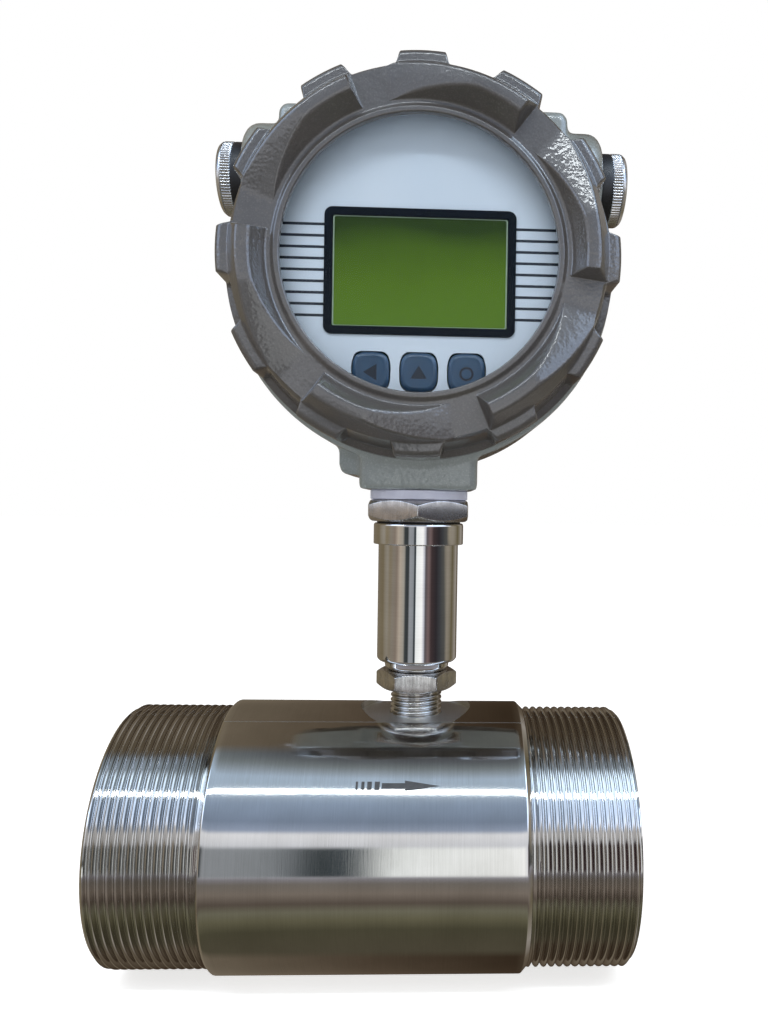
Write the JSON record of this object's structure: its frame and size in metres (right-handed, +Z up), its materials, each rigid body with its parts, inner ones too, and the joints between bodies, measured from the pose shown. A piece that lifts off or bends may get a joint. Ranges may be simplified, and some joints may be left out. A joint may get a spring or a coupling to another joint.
{
  "type": "turbine flow meter",
  "caption": "Inline turbine flow meter: threaded stainless pipe body with a bladed rotor, a sensor stem and a round display head with keys and screw-on covers.",
  "frame": {"origin": "centre of the inlet face, on the pipe's axis", "axes": "+X along the flow, +Z up from the pipe to the display head, -Y the way the display faces"},
  "size_m": [0.15, 0.0796, 0.2641],
  "materials": {
    "turned_stainless": "fine turned stainless steel, lengthways brushed sheen",
    "polished_stainless": "mirror-polished stainless steel tube",
    "hexagon_stainless": "stainless steel hexagons and stud, vertical brushed grain",
    "guide_stainless": "smooth machined stainless steel flow guides",
    "rotor_steel": "magnetic stainless steel blades",
    "carbide": "dark ground tungsten carbide shaft and bushes",
    "pole_iron": "soft iron pole and magnet",
    "copper_winding": "enamelled copper winding on its former",
    "circuit_board": "green solder-masked circuit board",
    "white_nylon": "white nylon sealing washer",
    "black_rubber": "black nitrile rubber seals",
    "housing_enamel": "pale grey-green textured gloss powder coat on cast aluminium",
    "cover_enamel": "taupe gloss powder coat with light orange peel on cast aluminium",
    "window_glass": "clear toughened glass",
    "face_print": "pale blue-white printed plate with dark stripes",
    "bezel_navy": "navy-black moulded frame",
    "lcd_green": "unlit yellow-green liquid-crystal panel",
    "key_navy": "navy-grey soft keys",
    "black_plastic": "black moulded switch and cable jacket",
    "brass_pillar": "plain brass pillars",
    "terminal_green": "green polyamide terminal block",
    "plated_screw": "nickel-plated screws",
    "knurled_plug": "nickel-plated knurled plug"
  },
  "bodies": {
    "meter_body": {"pipe_body": "turned_stainless", "inlet_flow_guide": "guide_stainless", "inlet_bearing": "carbide", "inlet_spacer_sleeve": "guide_stainless", "inlet_retaining_ring": "guide_stainless", "outlet_flow_guide": "guide_stainless", "outlet_bearing": "carbide", "outlet_spacer_sleeve": "guide_stainless", "outlet_retaining_ring": "guide_stainless", "pickup_stud": "hexagon_stainless", "pickup_core": "pole_iron", "pickup_coil": "copper_winding", "pickup_magnet": "pole_iron", "lock_nut": "hexagon_stainless", "amplifier_tube": "polished_stainless", "amplifier_board": "circuit_board", "tube_o_ring": "black_rubber", "hex_nipple": "hexagon_stainless", "neck_gasket": "white_nylon"},
    "rotor": {"rotor": "rotor_steel", "rotor_shaft": "carbide"},
    "head": {"housing": "housing_enamel", "face_plate": "face_print", "lcd_bezel": "bezel_navy", "lcd_module": "lcd_green", "key_switches": "black_plastic", "display_board": "circuit_board", "board_standoffs": "brass_pillar", "terminal_board": "circuit_board", "terminal_pillars": "brass_pillar", "terminal_block": "terminal_green", "terminal_screws": "plated_screw", "earth_screw": "plated_screw", "pickup_lead": "black_plastic"},
    "front_seal": {"front_cover_o_ring": "black_rubber"},
    "front_cover": {"front_cover": "cover_enamel", "window_gasket": "black_rubber", "window_glass": "window_glass"},
    "rear_seal": {"rear_cover_o_ring": "black_rubber"},
    "rear_cover": {"rear_cover": "cover_enamel"},
    "left_plug_seal": {"left_plug_ring": "black_rubber"},
    "left_plug": {"left_conduit_plug": "knurled_plug"},
    "right_plug_seal": {"right_plug_ring": "black_rubber"},
    "right_plug": {"right_conduit_plug": "knurled_plug"},
    "key_left": {"key_left": "key_navy"},
    "key_middle": {"key_middle": "key_navy"},
    "key_right": {"key_right": "key_navy"}
  },
  "joints": [
    {"name": "rotor_spin", "type": "hinge", "parent": "meter_body", "child": "rotor", "pos_m": [0.087, 0, 0], "axis": [1, 0, 0], "continuous": true},
    {"name": "head_swivel", "type": "hinge", "parent": "meter_body", "child": "head", "pos_m": [0.087, 0, 0.1688], "axis": [0, 0, 1], "range_deg": [-175, 175]},
    {"name": "front_cover_travel", "type": "slide", "parent": "head", "child": "front_seal", "axis": [0, -1, 0], "range_m": [0, 0.00901]},
    {"name": "front_cover_turn", "type": "hinge", "parent": "front_seal", "child": "front_cover", "pos_m": [0.087, 0, 0.1688], "axis": [0, -1, 0], "range_deg": [0, 1620]},
    {"name": "rear_cover_travel", "type": "slide", "parent": "head", "child": "rear_seal", "axis": [0, 1, 0], "range_m": [0, 0.00901]},
    {"name": "rear_cover_turn", "type": "hinge", "parent": "rear_seal", "child": "rear_cover", "pos_m": [0.087, 0, 0.1688], "axis": [0, 1, 0], "range_deg": [0, 1620]},
    {"name": "left_plug_travel", "type": "slide", "parent": "head", "child": "left_plug_seal", "axis": [-1, 0, 0], "range_m": [0, 0.01201]},
    {"name": "left_plug_turn", "type": "hinge", "parent": "left_plug_seal", "child": "left_plug", "pos_m": [0.087, 0.004, 0.2015], "axis": [-1, 0, 0], "range_deg": [0, 2880]},
    {"name": "right_plug_travel", "type": "slide", "parent": "head", "child": "right_plug_seal", "axis": [1, 0, 0], "range_m": [0, 0.01201]},
    {"name": "right_plug_turn", "type": "hinge", "parent": "right_plug_seal", "child": "right_plug", "pos_m": [0.087, 0.004, 0.2015], "axis": [1, 0, 0], "range_deg": [0, 2880]},
    {"name": "key_left_press", "type": "slide", "parent": "head", "child": "key_left", "axis": [0, 1, 0], "range_m": [0, 0.0008], "stiffness_N_per_m": 900, "springref_m": -0.0002},
    {"name": "key_middle_press", "type": "slide", "parent": "head", "child": "key_middle", "axis": [0, 1, 0], "range_m": [0, 0.0008], "stiffness_N_per_m": 900, "springref_m": -0.0002},
    {"name": "key_right_press", "type": "slide", "parent": "head", "child": "key_right", "axis": [0, 1, 0], "range_m": [0, 0.0008], "stiffness_N_per_m": 900, "springref_m": -0.0002}
  ],
  "couplings": [
    {"joint": "front_cover_travel", "follows": "front_cover_turn", "m_per_rad": 0.00031831},
    {"joint": "rear_cover_travel", "follows": "rear_cover_turn", "m_per_rad": 0.00031831},
    {"joint": "left_plug_travel", "follows": "left_plug_turn", "m_per_rad": 0.00023873},
    {"joint": "right_plug_travel", "follows": "right_plug_turn", "m_per_rad": 0.00023873}
  ]
}
